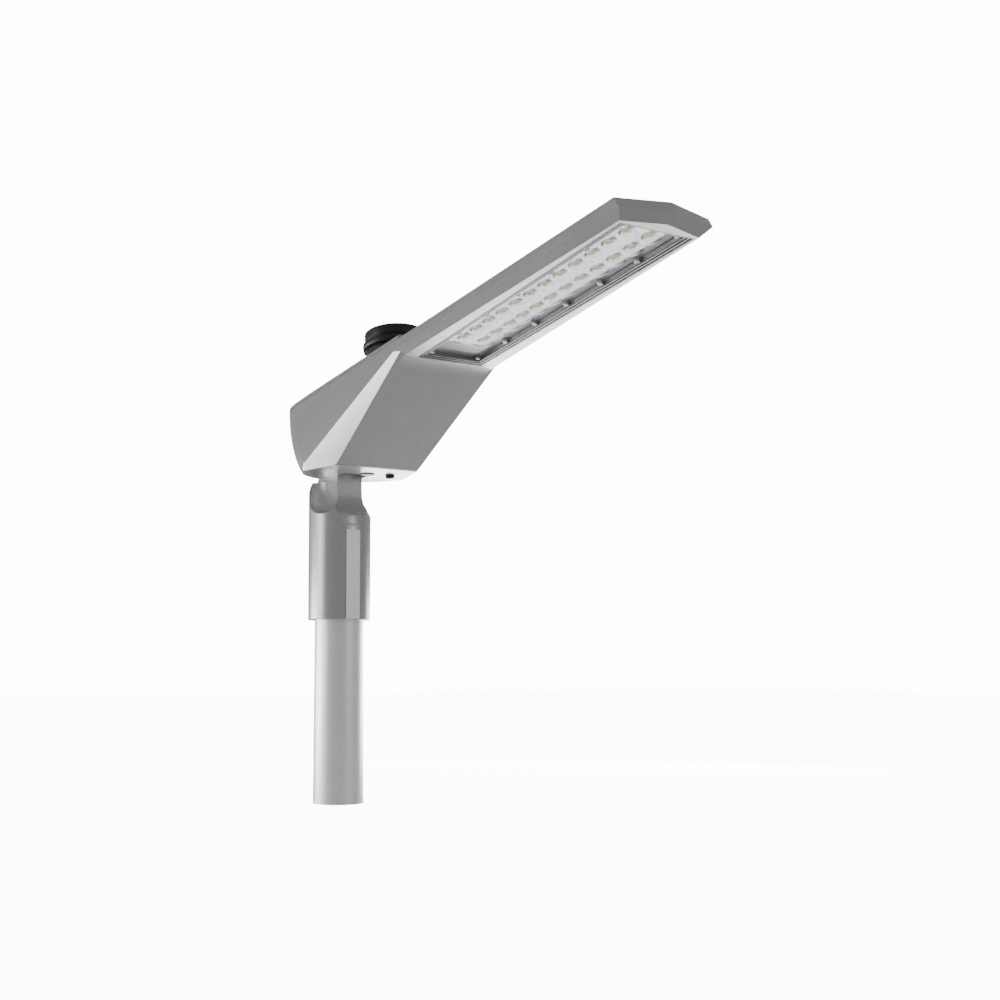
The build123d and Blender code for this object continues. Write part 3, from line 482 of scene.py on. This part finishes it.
body_of = {n: body for body, names in frame["record"]["behaviour"]["bodies"].items() for n in names}
softened("housing", radius=0.0009)
softened("gear_cover", radius=0.0005)
softened("mast_adapter", radius=0.0014, length=0.004, area=1e-5, sharp=14.0)

# %% [markdown]
# The cap is turned: one profile of radius against height, run round the head's w axis. Its flange bulges
# over a groove for the fingers, and its top is dished inside a rolled rim.

# %% Control cap
SOCKET_U = 154.8
CAP_STEPS = 128
CAP_PROFILE = [
    (0, 73.5), (27.5, 73.5), (28.6, 73.7), (29.6, 74.2), (30.8, 74.3), (32.4, 73.9), (33.7, 73.0),
    (34.5, 71.7), (34.8, 70.0), (34.8, 63.6), (34.4, 62.6), (33.7, 61.8), (33.8, 61.0), (34.9, 60.5),
    (36.3, 60.0), (37.1, 58.8), (37.3, 57.0), (37.2, 55.2), (36.6, 53.5), (35.4, 52.4), (33.8, 52.0),
    (0, 52.0),
]


def rounded(profile, steps):
    """A smooth profile: Catmull-Rom points between the given ones, the ends left where they are.

    Each span is half of 2b + (c - a) t + (2a - 5b + 4c - d) t^2 + (3b - a - 3c + d) t^3, from b to c,
    with a before b and d after c.
    """
    p = np.asarray(profile, float)
    p = np.concatenate([p[:1], p, p[-1:]])
    t = np.linspace(0, 1, steps, endpoint=False)[:, None]
    a, b, c, d = (p[k:len(p) - 3 + k, None, :] for k in range(4))
    square, cube = 2 * a - 5 * b + 4 * c - d, 3 * b - a - 3 * c + d
    curve = 0.5 * (2 * b + (c - a) * t + square * t ** 2 + cube * t ** 3)
    return np.concatenate([curve.reshape(-1, 2), p[-1:]])


cap_body = [turned(rounded(CAP_PROFILE, 4), (SOCKET_U, 0), CAP_STEPS)]
make_piece("twist_cap", cap_body, "control_cap", "black_plastic", ["shorting_cap"])

# %% [markdown]
# Under each moulded lens there is an LED: a silicone dome over the phosphor, on a bright solder
# footprint. The lens has a hollow of its own over the dome. Two black curved bars under its ends are
# painted shade: they put in the dark dot and crescent that the lens shows there. Each of these is one
# small turned grid or curved bar, repeated at every lens place.

# %% Lens places and the optical pieces
LENS_COLUMNS, FIRST_LENS_U, LENS_PITCH, LENS_ROW = 12, 325.6, 24.75, 12.2
BOARD_W = 10.0
lens_places = [
    (FIRST_LENS_U + column * LENS_PITCH, side * LENS_ROW)
    for column in range(LENS_COLUMNS)
    for side in (1, -1)
]


ARC_BAR_STEPS = 10


def arc_bar(centre, radius, width, low, high, middle, spread):
    """A curved bar: a rectangle, width across and from low to high, run along an arc, its ends closed.

    The arc has a centre (u, v) and a radius, and goes from middle - spread to middle + spread (radians).
    """
    angle = middle + np.linspace(-spread, spread, ARC_BAR_STEPS)
    rows = []
    for side, w in [(-1, low), (1, low), (1, high), (-1, high)]:
        r = radius + side * width / 2
        u, v = centre[0] + r * np.cos(angle), centre[1] + r * np.sin(angle)
        rows.append(np.stack([u, v, w + 0 * angle], -1))
    points = np.stack(rows)
    axis = np.broadcast_to(points.mean(axis=0), points.shape)
    points = np.concatenate([axis[:, :1], points, axis[:, -1:]], 1)
    return in_head(points), grid_faces(4, ARC_BAR_STEPS + 2, wrap_rows=True)


# Each profile is (radius, height w) in mm, and closes on the axis or on itself.
dome_profile = rounded([(0, 7.95), (1.6, 8.1), (3.0, 8.6), (3.9, 9.3), (4.2, BOARD_W), (0, BOARD_W)], 2)
foot_profile = [(0, BOARD_W - 0.06), (5.4, BOARD_W - 0.06), (5.6, BOARD_W), (0, BOARD_W)]
hollow_profile = rounded([(0, 3.9), (2.2, 4.2), (3.9, 5.2), (4.9, 6.6), (5.2, 7.7), (0, 7.7)], 2)
rim_profile = rounded([(9.2, 5.55), (9.9, 5.0), (10.5, 5.1), (10.9, 5.75), (9.2, 5.55)], 3)
domes = [turned(dome_profile, place, 24) for place in lens_places]
feet = [turned(foot_profile, place, 24) for place in lens_places]
hollows = [turned(hollow_profile, place, 28) for place in lens_places]
rims = [turned(rim_profile, place, 40) for place in lens_places]
make_piece("phosphor_domes", domes, "luminaire", "led_phosphor", ["led_chips"])
make_piece("solder_footprints", feet, "luminaire", "stainless")
make_piece("lens_hollows", hollows, "luminaire", "clear_optic")
make_piece("lens_rims", rims, "luminaire", "clear_optic")
# Painted shade: black bars under the ends of each lens put in the dark dot and crescent that the lens
# shows there.
SHADE_BAR_LOW, SHADE_BAR_HIGH = 7.9, 9.9
shade_bars = []
for place in lens_places:
    shade_bars.append(arc_bar(place, 9.4, 0.9, SHADE_BAR_LOW, SHADE_BAR_HIGH, middle=-0.15, spread=0.36))
    shade_bars.append(arc_bar(place, 5.9, 1.5, SHADE_BAR_LOW, SHADE_BAR_HIGH, middle=math.pi + 0.45, spread=0.17))
make_piece("lens_painted_shade_bars", shade_bars, "luminaire", "black_plastic")

# %% [markdown]
# The lamp stands on a pale floor in a white room. The camera sees the room and the floor as bright white,
# but they light the lamp only softly, so the faces keep their own tones.

# %% Floor and room
def seen_or_lit(tree, seen, lit):
    """A shader that shows one thing to the camera and lights the scene with another."""
    path = tree.nodes.new("ShaderNodeLightPath")
    mix = tree.nodes.new("ShaderNodeMixShader")
    tree.links.new(path.outputs["Is Camera Ray"], mix.inputs[0])
    tree.links.new(lit, mix.inputs[1])
    tree.links.new(seen, mix.inputs[2])
    return mix.outputs[0]


FLOOR_HALF, FLOOR_GAP = 9.0, 0.0005
FLOOR_GLOW, ROOM_GLOW = 12.0, 14.0
floor_z = cad_box[0][2] - FLOOR_GAP
floor_mesh = bpy.data.meshes.new("floor")
corners = [(x * FLOOR_HALF, y * FLOOR_HALF, floor_z) for x, y in ((-1, -1), (1, -1), (1, 1), (-1, 1))]
floor_mesh.from_pydata(corners, [], [(0, 1, 2, 3)])
floor = bpy.data.objects.new("floor", floor_mesh)
bpy.context.scene.collection.objects.link(floor)
floor_material, floor_shader, place = start_finish("pale_floor", Roughness=0.9)
floor_shader.inputs["Base Color"].default_value = grey(0.8)
floor_tree = floor_material.node_tree
floor_glow = floor_tree.nodes.new("ShaderNodeEmission")
floor_glow.inputs["Strength"].default_value = FLOOR_GLOW
floor_sum = floor_tree.nodes.new("ShaderNodeAddShader")
floor_tree.links.new(floor_shader.outputs[0], floor_sum.inputs[0])
floor_tree.links.new(floor_glow.outputs[0], floor_sum.inputs[1])
floor_out = seen_or_lit(floor_tree, floor_sum.outputs[0], floor_shader.outputs[0])
floor_tree.links.new(floor_out, floor_tree.nodes["Material Output"].inputs["Surface"])
floor_mesh.materials.append(floor_material)

ROOM_LIGHT = 0.35
world = bpy.data.worlds.new("white_room")
world.use_nodes = True
world_tree = world.node_tree
room = world_tree.nodes["Background"]
room.inputs["Color"].default_value = grey(1.0)
room.inputs["Strength"].default_value = ROOM_LIGHT
white = world_tree.nodes.new("ShaderNodeBackground")
white.inputs["Color"].default_value = grey(1.0)
white.inputs["Strength"].default_value = ROOM_GLOW
world_out = seen_or_lit(world_tree, white.outputs[0], room.outputs[0])
world_tree.links.new(world_out, world_tree.nodes["World Output"].inputs["Surface"])
bpy.context.scene.world = world
print("floor at z =", floor_z, "and room light", ROOM_LIGHT)

# %% [markdown]
# Four soft panels sit where the lamp's faces look: one at the left for the bright edge of the mast and the
# adapter, one low at the left for the bevels, one low at the back for the flat underside, and a weak one
# in front at the right.

# %% Lights
def softbox(name, position, target, width, height, power):
    """A rectangular area light aimed at a point, hidden from the camera."""
    light = bpy.data.lights.new(name, "AREA")
    light.shape, light.size, light.size_y, light.energy = "RECTANGLE", width, height, power
    lamp = bpy.data.objects.new(name, light)
    lamp.location = position
    lamp.rotation_euler = (Vector(target) - Vector(position)).to_track_quat("-Z", "Y").to_euler()
    lamp.visible_camera = False
    bpy.context.scene.collection.objects.link(lamp)


LAMP_MIDDLE = (0.15, 0.0, 0.42)
PANELS = {  # place and target in m, width and height in m, power in W
    "left_panel": ((-0.45, -2.4, 0.42), LAMP_MIDDLE, 0.9, 1.5, 16.4),
    "left_low": ((-1.0, -1.15, 0.05), LAMP_MIDDLE, 1.0, 0.45, 25.5),
    "back_low": ((-0.45, 0.74, 0.02), (0.35, 0.0, 0.5), 1.0, 0.6, 18.0),
    "front_right": ((2.1, 1.0, 0.5), LAMP_MIDDLE, 0.7, 1.0, 3.3),
}
for name, (position, target, width, height, power) in PANELS.items():
    softbox(name, position, target, width, height, power)
    print(name, power, "W")

# %% [markdown]
# The camera stands in front, to one side and below the head, with a shifted lens, so upright edges stay
# upright while the lamp sits left of the middle.

# %% Camera
CAMERA_PLACE = (1.4457, -0.6759, 0.156)
CAMERA_HEADING = (-0.8657, 0.5006)
CAMERA_PITCH = 3.69
camera_data = bpy.data.cameras.new("camera")
camera_data.sensor_width = 36.0
camera_data.lens = 46.32
camera_data.shift_x = 0.0488
camera_data.shift_y = 0.0923
camera_data.clip_start = 0.05
camera_data.clip_end = 60.0
camera = bpy.data.objects.new("camera", camera_data)
camera.location = CAMERA_PLACE
heading = Vector((*CAMERA_HEADING, math.tan(math.radians(CAMERA_PITCH))))
camera.rotation_mode = "QUATERNION"
camera.rotation_quaternion = heading.to_track_quat("-Z", "Y")
bpy.context.scene.collection.objects.link(camera)
bpy.context.scene.camera = camera
print("camera at", CAMERA_PLACE, "pitched up", CAMERA_PITCH, "degrees")

# %% [markdown]
# Last, the view layer is brought up to date.

# %% The end
bpy.context.view_layer.update()
